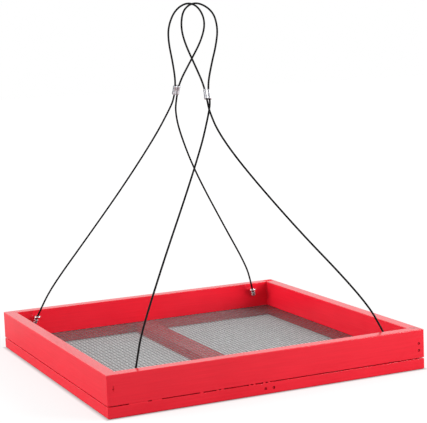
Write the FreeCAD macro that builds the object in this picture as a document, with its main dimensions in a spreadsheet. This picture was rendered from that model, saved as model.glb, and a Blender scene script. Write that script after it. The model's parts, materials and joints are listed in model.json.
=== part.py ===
"""Hanging platform bird feeder: a painted timber tray with a wire floor, hung by two looped cables.

Millimetres, +Z up. The origin is the middle of the tray's underside, and the front wall is at -Y.
"""
import FreeCAD, Part
import Sketcher
import math
import os

Vector = FreeCAD.Vector
Rotation = FreeCAD.Rotation
Placement = FreeCAD.Placement

# Driving dimensions, each with the words that go beside it in the sheet
SIZES = {
    "tray_width": (305, "outside, along the front wall"),
    "tray_depth": (305, "outside, front to back"),
    "board_height": (26, "upper wall boards"),
    "board_thickness": (11, "boards and strips"),
    "edge_round": (0.7, "eased edges of the timber"),
    "strip_height": (10.1, "lower strips"),
    "mesh_thickness": (0.9, "wire floor, which leaves the seam between boards and strips"),
    "mesh_grip": (3.5, "how far the mesh reaches between the boards and the strips"),
    "mesh_bar": (1.5, "width of one bar of the floor"),
    "mesh_gaps": (17, "gaps along each side of the floor"),
    "brace_width": (20, "bar under the mesh, as high as the strips"),
    "brace_offset": (-4.7, "middle of the bar, left of the tray's middle"),
    "nail_diameter": (1.4, "shank"),
    "nail_length": (22, "head to tip"),
    "nail_tip": (2.5, "length of the point"),
    "nail_head": (2, "diameter of the head"),
    "nail_head_height": (0.8, "thickness of the head"),
    "nail_set": (0.7, "head below the face of the timber"),
    "corner_nail_spacing": (6.4, "between the two nails of a corner"),
    "corner_nail_height": (10, "middle of the pair above the board's lower edge"),
    "brace_nail_spacing": (8, "between the two nails in a brace's end"),
    "strip_nail_inset": (60.5, "nails of a strip from the tray's corner"),
    "eye_inset": (30.5, "eyes from the tray's outer side"),
    "eye_drop": (6, "ring below the rim"),
    "eye_neck": (1.5, "between the ring and the wall's inner face"),
    "eye_room": (1, "free space in the ring round a cable in its middle"),
    "eye_wire": (1.6, "wire of the ring and neck"),
    "eye_screw": (2.2, "screwed part, in the wood"),
    "eye_screw_length": (6.5, "cylindrical stretch of the screw"),
    "eye_screw_tip": (2, "point of the screw"),
    "cable_diameter": (1.8, "coated wire cable"),
    "cable_tail": (0.8, "cable past its end stop"),
    "hook_height": (338, "top of the loops above the underside"),
    "hook_gap": (1.6, "each loop's top from the middle plane of the tray"),
    "foot_slope": (0.3, "sideways lean of a cable where it passes its eye"),
    "foot_rise": (11, "first bend of a cable above its eye"),
    "ferrule_seat": (245, "middle of the ferrule above the eyes, along the cables' plane"),
    "ferrule_height": (9.6, "sleeve, along the cable"),
    "ferrule_wall": (1.25, "metal round each strand"),
    "strand_gap": (1.4, "metal between the two strands in a ferrule"),
    "strand_run": (17, "straight stretch of cable through a ferrule"),
    "crimp_height": (3.2, "band pressed by the crimping tool"),
    "crimp_depth": (0.4, "depth of the pressed band"),
    "front_ferrule_shift": (-1.5, "front ferrule beside the tray's middle"),
    "stop_lip": (0.2, "how far an end stop is wider than the ring's hole, all round"),
    "stop_length": (4, "end stop"),
    "stop_gap": (2.2, "ring's underside to the top of the stop"),
}

# Cable routes on their leaning planes, chosen by hand: across the tray, up the plane, out of the plane
BACK_LEFT_LEG = [(-30, 168.5, 0), (-12.5, 205, 0), (-4, 226, 0)]
BACK_LOOP = [(-7, 274, 0), (-15.5, 298, 0), (-17, 314, 0), (-12, 331, 0), (0.5, 337.5, 0), (13, 331, 0),
             (21.5, 316, 0), (19, 297, 0), (10.5, 275, 0)]
BACK_RIGHT_LEG = [(2.2, 222, 0), (8, 207, 0)]
FRONT_LEFT_LEG = [(-26, 180, 0), (-8.5, 214.5, 1.8), (-2.4, 228, 1.9)]
FRONT_LOOP = [(5.5, 266, 0), (18, 290, 0), (24.5, 309, 0), (22.5, 327, 0), (8, 338, 0), (-6.5, 331.5, 0),
              (-13.8, 315, 0), (-13, 297, 0), (-7, 271, 0)]
FRONT_RIGHT_LEG = [(-4.2, 227, -1.9), (1.5, 208, -1.8), (84, 72, 0), (107.5, 37, 0)]

# Share of the shorter run that an arc of a cable takes up on each side of its corner
ARC_SHARE = 0.45
# Spacing of the points on which a cable's distance to itself is measured, and the length along it left out
GAP_STEP = 0.5
GAP_SKIP = 12

doc = FreeCAD.newDocument("bird_feeder")
sheet = doc.addObject("Spreadsheet::Sheet", "Sizes")
for row, (alias, (value, words)) in enumerate(SIZES.items(), start=1):
    sheet.set("A%d" % row, words)
    sheet.set("B%d" % row, str(value))
    sheet.setAlias("B%d" % row, alias)
doc.recompute()

# Expressions that several pieces share
HALF_WIDTH = "Sizes.tray_width / 2"
HALF_DEPTH = "Sizes.tray_depth / 2"
BOARD_BASE = "Sizes.strip_height + Sizes.mesh_thickness"
SIDE_LENGTH = "Sizes.tray_depth - 2 * Sizes.board_thickness"
EYE_RING = "Sizes.cable_diameter / 2 + Sizes.eye_room + Sizes.eye_wire / 2"
EYE_STANDOFF = EYE_RING + " + Sizes.eye_wire / 2 + Sizes.eye_neck"
EYE_ACROSS = HALF_WIDTH + " - Sizes.eye_inset"
EYE_OUT = "%s - Sizes.board_thickness - (%s)" % (HALF_DEPTH, EYE_STANDOFF)
EYE_HEIGHT = BOARD_BASE + " + Sizes.board_height - Sizes.eye_drop"
STOP_RADIUS = "Sizes.cable_diameter / 2 + Sizes.eye_room + Sizes.stop_lip"
STOP_TOP = "Sizes.eye_wire / 2 + Sizes.stop_gap"
STRAND_OFFSET = "(Sizes.cable_diameter + Sizes.strand_gap) / 2"
BARREL_RADIUS = "Sizes.cable_diameter / 2 + Sizes.ferrule_wall"
WALL_YAWS = {"front": 0, "right": 90, "back": 180, "left": 270}

nodes = {}


def size(alias):
    """One driving dimension as a number."""
    return float(sheet.get(alias))


def number(expression):
    """What an expression comes to with the sheet's present values."""
    return float(sheet.evalExpression(expression))


def bind(obj, **expressions):
    """Tie properties of an object to the sheet; x, y and z are its place."""
    for name, expression in expressions.items():
        prop = "Placement.Base." + name if name in ("x", "y", "z") else name
        obj.setExpression(prop, expression)


def turn_about_z(degrees):
    """A placement at the origin that only turns about Z."""
    return Placement(Vector(), Rotation(Vector(0, 0, 1), degrees))


def cylinder(name, radius, height, rotation=None, **place):
    """A Part cylinder bound to the sheet, along Z unless it is turned."""
    obj = doc.addObject("Part::Cylinder", name)
    if rotation:
        obj.Placement = Placement(Vector(), rotation)
    bind(obj, Radius=radius, Height=height, **place)
    return obj


def cone(name, radius, tip_radius, height, rotation=None, **place):
    """A Part cone bound to the sheet, along Z unless it is turned."""
    obj = doc.addObject("Part::Cone", name)
    if rotation:
        obj.Placement = Placement(Vector(), rotation)
    bind(obj, Radius1=radius, Radius2=tip_radius, Height=height, **place)
    return obj


def fused(name, pieces):
    """One solid made of several."""
    obj = doc.addObject("Part::MultiFuse", name)
    obj.Shapes = pieces
    return obj


def grouped(name, pieces):
    """Separate solids kept together."""
    obj = doc.addObject("Part::Compound", name)
    obj.Links = pieces
    return obj


def cut(name, base, tool):
    """One solid cut by another, or by a group."""
    obj = doc.addObject("Part::Cut", name)
    obj.Base = base
    obj.Tool = tool
    return obj


def keep(label, obj):
    """Name an object as a sub-part that is written out."""
    obj.Label = label
    nodes[label] = obj


def timber(name, length, thickness, height, covers_ends):
    """A length of planed timber along X, centred on Z, with its inner face at +Y and its edges eased.

    A piece that covers the ends of its neighbours is eased at its ends too, except where they meet it.
    """
    body = doc.addObject("PartDesign::Body", name)
    outline = body.newObject("Sketcher::SketchObject", name + "_outline")
    plane = next(f for f in body.Origin.OriginFeatures if f.Role == "XY_Plane")
    outline.AttachmentSupport = [(plane, "")]
    outline.MapMode = "FlatFace"
    corners = [Vector(-1, -1), Vector(1, -1), Vector(1, 1), Vector(-1, 1)]
    for start, end in zip(corners, corners[1:] + corners[:1]):
        outline.addGeometry(Part.LineSegment(start, end))
    for side in range(4):
        outline.addConstraint(Sketcher.Constraint("Coincident", side, 2, (side + 1) % 4, 1))
        outline.addConstraint(Sketcher.Constraint("Vertical" if side % 2 else "Horizontal", side))
    outline.addConstraint(Sketcher.Constraint("Symmetric", 0, 1, 1, 2, -1, 1))
    lengths = (("length", 0, "DistanceX", length), ("thickness", 1, "DistanceY", thickness))
    for label, side, kind, expression in lengths:
        index = outline.addConstraint(Sketcher.Constraint(kind, side, 1, side, 2, 2))
        outline.renameConstraint(index, label)
        outline.setExpression("Constraints." + label, expression)
    pad = body.newObject("PartDesign::Pad", name + "_pad")
    pad.Profile = outline
    bind(pad, Length=height)
    doc.recompute()
    eased = []
    for number, edge in enumerate(pad.Shape.Edges, start=1):
        direction = edge.tangentAt(edge.FirstParameter)
        upright = abs(direction.z) > abs(direction.x) + abs(direction.y)
        lengthwise = abs(direction.x) > abs(direction.y) + abs(direction.z)
        meets_neighbour = upright and edge.CenterOfMass.y > 0
        if lengthwise or (covers_ends and not meets_neighbour):
            eased.append("Edge%d" % number)
    fillet = body.newObject("PartDesign::Fillet", name + "_eased")
    fillet.Base = (pad, eased)
    bind(fillet, Radius="Sizes.edge_round")
    return body


def wall(name, side, height, base):
    """A board or strip of one side of the tray, in its place."""
    along_front = side in ("front", "back")
    length = "Sizes.tray_width" if along_front else SIDE_LENGTH
    body = timber(name, length, "Sizes.board_thickness", height, along_front)
    body.Placement = turn_about_z(WALL_YAWS[side])
    sign = "-" if side in ("front", "left") else ""
    middle = "%s(%s - Sizes.board_thickness / 2)"
    if along_front:
        bind(body, y=middle % (sign, HALF_DEPTH), z=base)
    else:
        bind(body, x=middle % (sign, HALF_WIDTH), z=base)
    return body


def nail(name, rotation, **place):
    """A nail and the open hole above its head; the face of the timber is at the nail's own z = 0."""
    neck = "-(Sizes.nail_set + Sizes.nail_head_height)"
    point = "-(Sizes.nail_set + Sizes.nail_length - Sizes.nail_tip)"
    shank_length = "Sizes.nail_length - Sizes.nail_head_height - Sizes.nail_tip"
    head = cylinder(name + "_head", "Sizes.nail_head / 2", "Sizes.nail_head_height", z=neck)
    shank = cylinder(name + "_shank", "Sizes.nail_diameter / 2", shank_length, z=point)
    end = point + " - Sizes.nail_tip"
    tip = cone(name + "_tip", "0", "Sizes.nail_diameter / 2", "Sizes.nail_tip", z=end)
    body = fused(name, [head, shank, tip])
    hole = cylinder(name + "_hole", "Sizes.nail_head / 2", "2 * Sizes.nail_set", z="-Sizes.nail_set")
    mouth = grouped(name + "_mouth", [hole])
    for obj in (body, mouth):
        obj.Placement = Placement(Vector(), rotation)
        bind(obj, **place)
    return body, mouth


def screw_eye(name, yaw, **place):
    """A small screw eye: a level ring, its neck and the screw that goes into the wall at its own +Y."""
    into_wall = Rotation(Vector(1, 0, 0), -90)
    screw_end = EYE_STANDOFF + " + Sizes.eye_screw_length"
    neck_length = "Sizes.eye_wire / 2 + Sizes.eye_neck"
    screw_radius = "Sizes.eye_screw / 2"
    ring = doc.addObject("Part::Torus", name + "_ring")
    bind(ring, Radius1=EYE_RING, Radius2="Sizes.eye_wire / 2")
    neck = cylinder(name + "_neck", "Sizes.eye_wire / 2", neck_length, into_wall, y=EYE_RING)
    screw = cylinder(name + "_screw", screw_radius, "Sizes.eye_screw_length", into_wall, y=EYE_STANDOFF)
    tip = cone(name + "_tip", screw_radius, "0", "Sizes.eye_screw_tip", into_wall, y=screw_end)
    body = fused(name, [ring, neck, screw, tip])
    body.Placement = turn_about_z(yaw)
    bind(body, **place)
    return body


def mesh_floor():
    """The wire floor as one holed sheet, with fewer and wider gaps than woven wire has."""
    bar = size("mesh_bar")
    count = int(size("mesh_gaps"))
    margin = size("board_thickness") - size("mesh_grip")
    across = size("tray_width") - 2 * margin
    along = size("tray_depth") - 2 * margin
    pitch_x = (across - bar) / count
    pitch_y = (along - bar) / count
    wires = [Part.makePlane(across, along, Vector(-across / 2, -along / 2, 0)).OuterWire]
    for column in range(count):
        for line in range(count):
            corner = Vector(bar - across / 2 + column * pitch_x, bar - along / 2 + line * pitch_y, 0)
            wires.append(Part.makePlane(pitch_x - bar, pitch_y - bar, corner).OuterWire)
    face = Part.makeFace(wires, "Part::FaceMakerBullseye")
    obj = doc.addObject("Part::Feature", "mesh_screen_sheet")
    obj.Shape = face.extrude(Vector(0, 0, size("mesh_thickness")))
    obj.Placement = Placement(Vector(0, 0, size("strip_height")), Rotation())
    return obj


def hanger_frame(side):
    """A cable's leaning plane: X along the wall, Z up the plane from the line through the wall's eyes."""
    out = number(EYE_OUT)
    height = number(EYE_HEIGHT)
    lean = math.degrees(math.atan2(out - size("hook_gap"), size("hook_height") - height))
    return Placement(Vector(0, side * out, height), Rotation(Vector(1, 0, 0), side * lean))


def foot_direction(end):
    """Unit direction of a cable down through its eye; end is -1 for the left eye and 1 for the right."""
    return Vector(end * size("foot_slope"), 0, -1).normalize()


def foot_points(end):
    """The cable's end under its eye, and its first bend above it."""
    eye = Vector(end * number(EYE_ACROSS), 0, 0)
    reach = number(STOP_TOP) + size("stop_length") + size("cable_tail")
    return [eye + foot_direction(end) * reach, eye - foot_direction(end) * size("foot_rise")]


def strand_points(ferrule_x, end):
    """The straight stretch of cable through one barrel of a ferrule, from its lower point upwards."""
    x = ferrule_x + end * number(STRAND_OFFSET)
    low = size("ferrule_seat") - size("strand_run") / 2
    return [Vector(x, 0, low), Vector(x, 0, low + size("strand_run"))]


def cable_route(left_leg, loop, right_leg, ferrule_x, first_barrel):
    """All points of a cable, from under its left eye to under its right eye."""
    lists = [[Vector(x, out, up) for x, up, out in points] for points in (left_leg, loop, right_leg)]
    rise = strand_points(ferrule_x, first_barrel)
    fall = strand_points(ferrule_x, -first_barrel)[::-1]
    return foot_points(-1) + lists[0] + rise + lists[1] + fall + lists[2] + foot_points(1)[::-1]


def rounded_path(points):
    """Straight runs joined by tangent arcs, as edges, with the arcs' radii."""
    edges = []
    radii = []
    start = points[0]
    for before, corner, after in zip(points, points[1:], points[2:]):
        back = (before - corner).normalize()
        onward = (after - corner).normalize()
        turn = math.pi - back.getAngle(onward)
        tangent = ARC_SHARE * min((before - corner).Length, (after - corner).Length)
        radius = tangent / math.tan(turn / 2)
        inward = (back + onward).normalize()
        crown = corner + inward * (radius / math.cos(turn / 2) - radius)
        arc_start = corner + back * tangent
        arc_end = corner + onward * tangent
        edges.append(Part.LineSegment(start, arc_start).toShape())
        edges.append(Part.Arc(arc_start, crown, arc_end).toShape())
        radii.append(radius)
        start = arc_end
    edges.append(Part.LineSegment(start, points[-1]).toShape())
    return edges, radii


def least_gap(path, diameter):
    """Least distance between a cable's surface and itself, measured on points along it."""
    points = path.discretize(Distance=GAP_STEP)
    skip = int(GAP_SKIP / GAP_STEP)
    return min(a.distanceToPoint(b) for i, a in enumerate(points) for b in points[i + skip:]) - diameter


def cable(name, points, frame):
    """A cable as a round tube along its route, in its leaning plane."""
    edges, radii = rounded_path(points)
    path = Part.Wire(edges)
    radius = size("cable_diameter") / 2
    start_direction = edges[0].tangentAt(edges[0].FirstParameter)
    section = Part.Wire(Part.makeCircle(radius, points[0], start_direction))
    tube = path.makePipeShell([section], True, False)
    expected = math.pi * radius ** 2 * path.Length
    print("%s: length %.1f, volume %.1f of %.1f, least radius %.1f, least gap to itself %.2f"
          % (name, path.Length, tube.Volume, expected, min(radii), least_gap(path, 2 * radius)))
    print("  radii: " + ", ".join("%.0f" % r for r in radii))
    obj = doc.addObject("Part::Feature", name)
    obj.Shape = tube
    obj.Placement = frame
    return obj


def ferrule(name, ferrule_x, frame, cable_object):
    """A double-barrel crimped sleeve on the two strands of a cable."""
    barrels = []
    for end, side in ((-1, "left"), (1, "right")):
        obj = cylinder("%s_%s" % (name, side), BARREL_RADIUS, "Sizes.ferrule_height")
        x = ferrule_x + end * number(STRAND_OFFSET)
        low = size("ferrule_seat") - size("ferrule_height") / 2
        obj.Placement = frame * Placement(Vector(x, 0, low), Rotation())
        barrels.append(obj)
    sleeve = fused(name + "_sleeve", barrels)
    bands = []
    half_depth = number(BARREL_RADIUS)
    half_width = half_depth + number(STRAND_OFFSET)
    for face, side in ((-1, "near"), (1, "far")):
        obj = doc.addObject("Part::Box", "%s_band_%s" % (name, side))
        bind(obj, Length="2 * (%s + %s)" % (BARREL_RADIUS, STRAND_OFFSET), Width="2 * Sizes.crimp_depth",
             Height="Sizes.crimp_height")
        corner = Vector(ferrule_x - half_width, face * half_depth - size("crimp_depth"),
                        size("ferrule_seat") - size("crimp_height") / 2)
        obj.Placement = frame * Placement(corner, Rotation())
        bands.append(obj)
    pressed = cut(name + "_pressed", sleeve, grouped(name + "_bands", bands))
    return cut(name, pressed, cable_object)


def end_stop(name, end, frame, cable_object):
    """A crimped stop on a cable's end, under its eye."""
    blank = cylinder(name + "_blank", STOP_RADIUS, "Sizes.stop_length")
    down = foot_direction(end)
    top = Vector(end * number(EYE_ACROSS), 0, 0) + down * number(STOP_TOP)
    blank.Placement = frame * Placement(top, Rotation(Vector(0, 0, 1), down))
    return cut(name, blank, cable_object)


# Nails: pairs through the ends of the front and back boards and into the brace, and up through the strips
OUT_OF_WALL = {
    "front": Rotation(Vector(1, 0, 0), 90),
    "back": Rotation(Vector(1, 0, 0), -90),
}
DOWNWARDS = Rotation(Vector(1, 0, 0), 180)
nail_groups = {"corner_nails": [], "brace_nails": [], "strip_nails": []}
mouths = []


def drive(group, rotation, **place):
    """Add one nail to a group."""
    name = "%s_%d" % (group, len(nail_groups[group]) + 1)
    body, mouth = nail(name, rotation, **place)
    nail_groups[group].append(body)
    mouths.append(mouth)


for face, face_sign in (("front", "-"), ("back", "")):
    face_y = face_sign + HALF_DEPTH
    for step in ("-", "+"):
        nail_z = "%s + Sizes.corner_nail_height %s Sizes.corner_nail_spacing / 2" % (BOARD_BASE, step)
        for end_sign in ("-", ""):
            nail_x = "%s(%s - Sizes.board_thickness / 2)" % (end_sign, HALF_WIDTH)
            drive("corner_nails", OUT_OF_WALL[face], x=nail_x, y=face_y, z=nail_z)
        nail_x = "Sizes.brace_offset %s Sizes.brace_nail_spacing / 2" % step
        drive("brace_nails", OUT_OF_WALL[face], x=nail_x, y=face_y, z="Sizes.strip_height / 2")
BESIDE_MESH = "(Sizes.board_thickness - Sizes.mesh_grip) / 2"
for wall_sign in ("-", ""):
    for end_sign in ("-", ""):
        nail_x = "%s(%s - Sizes.strip_nail_inset)" % (end_sign, HALF_WIDTH)
        nail_y = "%s(%s - %s)" % (wall_sign, HALF_DEPTH, BESIDE_MESH)
        drive("strip_nails", DOWNWARDS, x=nail_x, y=nail_y)
        nail_x = "%s(%s - %s)" % (wall_sign, HALF_WIDTH, BESIDE_MESH)
        nail_y = "%s(%s - Sizes.strip_nail_inset)" % (end_sign, HALF_DEPTH)
        drive("strip_nails", DOWNWARDS, x=nail_x, y=nail_y)
for group, bodies in nail_groups.items():
    keep(group, grouped(group, bodies))

# Screw eyes in the inner faces of the front and back boards
eyes = []
for face, face_sign, yaw in (("front", "-", 180), ("back", "", 0)):
    for end, end_sign in (("left", "-"), ("right", "")):
        label = "%s_%s_eye" % (face, end)
        across = "%s(%s)" % (end_sign, EYE_ACROSS)
        eye = screw_eye(label, yaw, x=across, y="%s(%s)" % (face_sign, EYE_OUT), z=EYE_HEIGHT)
        keep(label, eye)
        eyes.append(eye)

# Timber, each piece with the holes of what is driven into it
driven = grouped("driven", [nodes[group] for group in nail_groups] + mouths + eyes)
for side in WALL_YAWS:
    board = wall(side + "_board_timber", side, "Sizes.board_height", BOARD_BASE)
    keep(side + "_board", cut(side + "_board", board, driven))
    strip = wall(side + "_strip_timber", side, "Sizes.strip_height", "0")
    keep(side + "_strip", cut(side + "_strip", strip, driven))
brace = timber("cross_brace_timber", SIDE_LENGTH, "Sizes.brace_width", "Sizes.strip_height", False)
brace.Placement = turn_about_z(90)
bind(brace, x="Sizes.brace_offset")
keep("cross_brace", cut("cross_brace", brace, driven))
keep("mesh_screen", mesh_floor())

# Hangers: a cable with its ferrule and end stops on each leaning plane
HANGERS = (
    ("front", -1, FRONT_LEFT_LEG, FRONT_LOOP, FRONT_RIGHT_LEG, size("front_ferrule_shift"), 1),
    ("back", 1, BACK_LEFT_LEG, BACK_LOOP, BACK_RIGHT_LEG, 0, -1),
)
for name, side, left_leg, loop, right_leg, ferrule_x, first_barrel in HANGERS:
    frame = hanger_frame(side)
    points = cable_route(left_leg, loop, right_leg, ferrule_x, first_barrel)
    rope = cable(name + "_cable", points, frame)
    keep(name + "_cable", rope)
    keep(name + "_ferrule", ferrule(name + "_ferrule", ferrule_x, frame, rope))
    for end, label in ((-1, "left"), (1, "right")):
        stop_name = "%s_%s_stop" % (name, label)
        keep(stop_name, end_stop(stop_name, end, frame, rope))

doc.recompute()
for obj in doc.Objects:
    if "Invalid" in obj.State or "Error" in obj.State:
        raise RuntimeError("%s failed: %s" % (obj.Name, obj.State))
for label, obj in nodes.items():
    if obj.Shape.isNull() or not obj.Shape.isValid() or not obj.Shape.Solids:
        raise RuntimeError("%s has no valid solid" % label)

os.makedirs("parts", exist_ok=True)
for label, obj in nodes.items():
    obj.Shape.exportStep("parts/%s.step" % label)
print("%d sub-parts written" % len(nodes))
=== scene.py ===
"""Looks of a hanging platform bird feeder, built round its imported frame.

Metres, +Z up. The origin is the middle of the tray's underside and the front wall is at -Y.
"""
from __future__ import annotations

import json
import logging
import math
from collections.abc import Callable, Iterator
from contextlib import contextmanager
from dataclasses import dataclass, field
from enum import Enum
from typing import Any

import bmesh
import bpy
from mathutils import Matrix, Vector

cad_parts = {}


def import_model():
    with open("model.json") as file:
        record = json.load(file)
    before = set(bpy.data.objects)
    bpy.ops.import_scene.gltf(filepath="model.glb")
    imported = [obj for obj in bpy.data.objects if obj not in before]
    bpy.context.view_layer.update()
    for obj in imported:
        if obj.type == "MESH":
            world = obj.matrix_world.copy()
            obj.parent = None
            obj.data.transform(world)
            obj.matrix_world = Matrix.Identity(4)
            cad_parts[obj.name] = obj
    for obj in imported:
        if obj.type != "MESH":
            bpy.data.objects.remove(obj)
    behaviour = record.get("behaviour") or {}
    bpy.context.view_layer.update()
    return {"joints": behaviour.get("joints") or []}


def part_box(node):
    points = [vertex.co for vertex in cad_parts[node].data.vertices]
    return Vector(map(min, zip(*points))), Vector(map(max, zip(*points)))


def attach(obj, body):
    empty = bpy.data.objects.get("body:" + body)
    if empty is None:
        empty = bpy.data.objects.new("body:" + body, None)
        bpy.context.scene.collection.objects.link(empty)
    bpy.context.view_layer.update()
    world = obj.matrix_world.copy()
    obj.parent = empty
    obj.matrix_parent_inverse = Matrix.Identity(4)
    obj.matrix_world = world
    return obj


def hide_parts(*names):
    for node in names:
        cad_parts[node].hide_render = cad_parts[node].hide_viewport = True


LOG = logging.getLogger("bird_feeder")
Colour = tuple[float, float, float, float]
Point = tuple[float, float, float]
Range = tuple[float, float]
Route = list[tuple[float, ...]]
Material = bpy.types.Material
Socket = bpy.types.NodeSocket
Shape = bpy.types.Object
WHITE: Colour = (1.0, 1.0, 1.0, 1.0)
ORIGIN: Point = (0.0, 0.0, 0.0)
ACROSS: Point = (1.0, 0.0, 0.0)
UP: Point = (0.0, 0.0, 1.0)
QUARTER_TURN = math.pi / 2
# How near a corner has to be to a plane to count as lying on it
TOUCH = 0.00005
# How much of a normal has to point one way for a face to count as facing it
FACING = 0.9
# Attribute that says how much painted shade a crimped sleeve gets: on its narrow sides and in the groove
# between its barrels
PAINTED_SHADE = "unpressed"


class Side(Enum):
    """A side of the tray; the value is its outward direction across and along the tray."""

    FRONT = (0, -1)
    BACK = (0, 1)
    LEFT = (-1, 0)
    RIGHT = (1, 0)

    @property
    def label(self) -> str:
        """The side's name as the nodes spell it."""
        return self.name.lower()

    @property
    def outward(self) -> int:
        """-1 in front and on the left, 1 behind and on the right."""
        return sum(self.value)


class Grain(Enum):
    """Which way a timber runs; the value is the turn that brings its length onto X."""

    ACROSS = 0.0
    ALONG = QUARTER_TURN


def pointing(way: Vector) -> Matrix:
    """The turn that points an upright thing another way."""
    return way.to_track_quat("Z", "Y").to_matrix().to_4x4()


class Bench:
    """The hand tools that every piece is made with."""

    @staticmethod
    def take(obj: Shape) -> None:
        """Select one object alone and make it the active one.

        Args:
            obj: The object.
        """
        bpy.ops.object.select_all(action="DESELECT")
        obj.select_set(True)
        bpy.context.view_layer.objects.active = obj

    @staticmethod
    def label(obj: Shape, name: str) -> None:
        """Name an object and its mesh."""
        obj.name = name
        obj.data.name = name

    @classmethod
    def start(cls, add: Callable[..., Any], name: str, **sizes: Any) -> Shape:
        """Add a primitive and name it.

        Args:
            add: The operator that adds it.
            name: Its name.
            **sizes: What the operator is called with.

        Returns:
            The new object, with its place in its mesh.
        """
        add(**sizes)
        obj = bpy.context.object
        cls.label(obj, name)
        return cls.settle(obj)

    @classmethod
    def block(cls, name: str, low: Vector, high: Vector) -> Shape:
        """Add a box between its lowest and its highest corner."""
        add = bpy.ops.mesh.primitive_cube_add
        return cls.start(add, name, size=1.0, location=(low + high) / 2, scale=high - low)

    @classmethod
    def rod(cls, name: str, sides: int, radius: float, length: float, **place: Point) -> Shape:
        """Add a cylinder, upright at the origin unless a location or rotation is given."""
        add = bpy.ops.mesh.primitive_cylinder_add
        return cls.start(add, name, vertices=sides, radius=radius, depth=length, **place)

    @classmethod
    def ring(cls, name: str, sides: int, radius: float, **place: Any) -> Shape:
        """Add a circle, with its place and what fills it."""
        return cls.start(bpy.ops.mesh.primitive_circle_add, name, vertices=sides, radius=radius, **place)

    @classmethod
    def settle(cls, obj: Shape, matrix: Matrix | None = None) -> Shape:
        """Move an object, then put its place, turn and scale into its mesh.

        Args:
            obj: The object.
            matrix: Where it goes from where it is, if it moves.

        Returns:
            The same object.
        """
        if matrix is not None:
            obj.matrix_world = matrix @ obj.matrix_world
        cls.take(obj)
        bpy.ops.object.transform_apply(location=True, rotation=True, scale=True)
        return obj

    @classmethod
    def twin(cls, obj: Shape, name: str, matrix: Matrix) -> Shape:
        """Copy an object with a mesh of its own.

        Args:
            obj: What is copied.
            name: The copy's name.
            matrix: Where the copy goes from there.

        Returns:
            The copy.
        """
        cls.take(obj)
        bpy.ops.object.duplicate(linked=False)
        copy = bpy.context.object
        cls.label(copy, name)
        return cls.settle(copy, matrix)

    @classmethod
    def join(cls, parts: list[Shape]) -> Shape:
        """Make one object of several.

        Args:
            parts: The objects.

        Returns:
            The first one, which has taken in the others.
        """
        cls.take(parts[0])
        for part in parts:
            part.select_set(True)
        bpy.ops.object.join()
        return parts[0]

    @classmethod
    @contextmanager
    def editing(cls, obj: Shape) -> Iterator[None]:
        """Edit mode on one object, with all its corners picked.

        Args:
            obj: The object.

        Yields:
            Nothing, in edit mode.
        """
        cls.take(obj)
        bpy.context.tool_settings.mesh_select_mode = (True, False, False)
        bpy.ops.object.mode_set(mode="EDIT")
        bpy.ops.mesh.select_all(action="SELECT")
        yield
        bpy.ops.object.mode_set(mode="OBJECT")

    @staticmethod
    def pick(obj: Shape, kind: str, test: Callable[[Any], bool]) -> None:
        """Select the parts of an edited mesh that pass a test, and no others.

        Args:
            obj: The object in edit mode.
            kind: The parts: verts, edges or faces.
            test: Says of one of them whether it is selected.
        """
        bpy.context.tool_settings.mesh_select_mode = [kind == mode for mode in ("verts", "edges", "faces")]
        mesh = bmesh.from_edit_mesh(obj.data)
        mesh.normal_update()
        parts = getattr(mesh, kind)
        for part in parts:
            part.select_set(False)
        for part in parts:
            if test(part):
                part.select_set(True)
        mesh.select_flush_mode()
        bmesh.update_edit_mesh(obj.data)

    @staticmethod
    def slice(axis: Point, reach: float) -> None:
        """Cut a new loop round the edited mesh, square to an axis and this far along it."""
        bpy.ops.mesh.select_all(action="SELECT")
        bpy.ops.mesh.bisect(plane_co=Vector(axis) * reach, plane_no=axis)

    @staticmethod
    def pull(way: Point) -> None:
        """Draw new faces out of what is picked."""
        bpy.ops.mesh.extrude_region_move(TRANSFORM_OT_translate={"value": way})

    @staticmethod
    def widen(scale: Point, about: Point) -> None:
        """Scale what is picked about a point."""
        bpy.ops.transform.resize(value=scale, center_override=about)

    @classmethod
    def close(cls, obj: Shape) -> None:
        """Close an object's open ends and turn its faces outwards.

        Args:
            obj: The object.
        """
        with cls.editing(obj):
            bpy.ops.mesh.fill_holes(sides=0)
            bpy.ops.mesh.normals_make_consistent(inside=False)

    @classmethod
    def modify(cls, obj: Shape, kind: str, **settings: Any) -> None:
        """Add a modifier and apply it.

        Args:
            obj: The object.
            kind: Blender's name for the modifier.
            **settings: Its own properties.
        """
        modifier = obj.modifiers.new(kind.title(), kind)
        for name, value in settings.items():
            setattr(modifier, name, value)
        cls.take(obj)
        bpy.ops.object.modifier_apply(modifier=modifier.name)

    @classmethod
    def carve(cls, obj: Shape, tool: Shape, operation: str) -> None:
        """Join an object with a tool or cut it, by UNION or DIFFERENCE; the tool is used up."""
        cls.modify(obj, "BOOLEAN", object=tool, operation=operation, solver="EXACT")
        bpy.data.objects.remove(tool)

    @classmethod
    def smooth(cls, obj: Shape, degrees: float = 35.0) -> None:
        """Shade an object smooth, except at edges that turn by more than this."""
        cls.take(obj)
        bpy.ops.object.shade_smooth_by_angle(angle=math.radians(degrees))

    @classmethod
    def smooth_edges(cls, obj: Shape) -> None:
        """Shade an object's rounded edges smooth and keep its large faces flat."""
        cls.smooth(obj)
        cls.modify(obj, "WEIGHTED_NORMAL", mode="FACE_AREA", weight=100, keep_sharp=True)


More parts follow.
